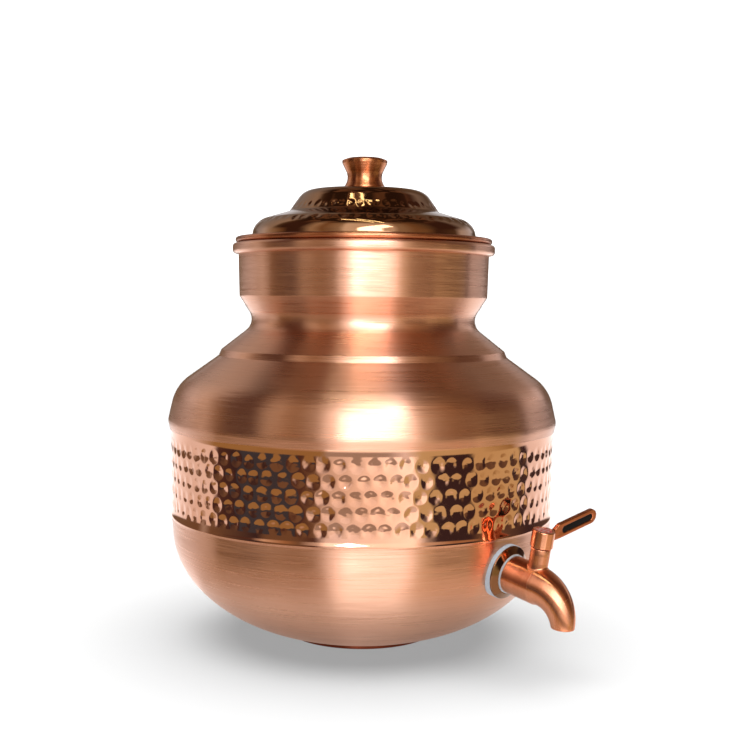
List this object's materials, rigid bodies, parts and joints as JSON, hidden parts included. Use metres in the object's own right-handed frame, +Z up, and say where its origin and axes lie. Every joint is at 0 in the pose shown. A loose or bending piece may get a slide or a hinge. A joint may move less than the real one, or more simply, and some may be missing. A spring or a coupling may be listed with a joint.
{
  "type": "water dispenser pot",
  "caption": "Round-bellied copper water pot with a hammered belt, narrow neck, stepped lift-off lid with knob, and a quarter-turn dispenser tap with side lever.",
  "frame": {"origin": "centre of the foot ring's underside, on the pot's own axis", "axes": "+Z up along the pot's axis, -Y towards the tap, +X to the side that the shut lever points to"},
  "size_m": [0.2537, 0.2988, 0.313],
  "materials": {
    "copper_brushed": "horizontally brushed copper, lacquered",
    "copper_polished": "mirror-polished hammered copper, lacquered",
    "copper_mirror": "mirror-polished spun sheet, lacquered",
    "copper_foot": "plain copper, satin",
    "tap_copper": "brushed copper plate on brass",
    "steel": "plain stainless steel",
    "silicone": "translucent white silicone rubber",
    "nylon": "natural nylon",
    "ptfe": "machined PTFE",
    "rubber": "black nitrile rubber",
    "grip_black": "black moulded plastic, fine grain",
    "index_red": "pale red moulded disc"
  },
  "bodies": {
    "pot": {"foot_ring": "copper_foot", "lower_bowl": "copper_brushed", "hammered_belt": "copper_polished", "upper_shell": "copper_brushed", "outer_seal": "silicone", "tap_flange": "copper_polished", "spacer_washer": "nylon", "tap_body": "tap_copper", "inner_seal": "silicone", "inner_washer": "steel", "lock_nut": "steel", "seat_retainer": "steel", "inlet_seat": "ptfe", "outlet_seat": "ptfe", "gland_nut": "tap_copper"},
    "lid": {"lid_cover": "copper_mirror", "lid_skirt": "copper_brushed", "lid_knob": "copper_brushed", "knob_screw": "steel", "knob_washer": "steel"},
    "handle": {"valve_ball": "steel", "valve_stem": "steel", "stem_o_rings": "rubber", "handle_hub": "tap_copper", "hub_screw": "steel", "index_button": "index_red", "lever": "tap_copper", "lever_insert": "grip_black"}
  },
  "joints": [
    {"name": "lid_lift", "type": "slide", "parent": "pot", "child": "lid", "axis": [0, 0, 1], "range_m": [0, 0.12]},
    {"name": "tap_turn", "type": "hinge", "parent": "pot", "child": "handle", "pos_m": [0, -0.14424, 0.05557], "axis": [0, -0.1801, 0.9836], "range_deg": [-90, 0]}
  ]
}
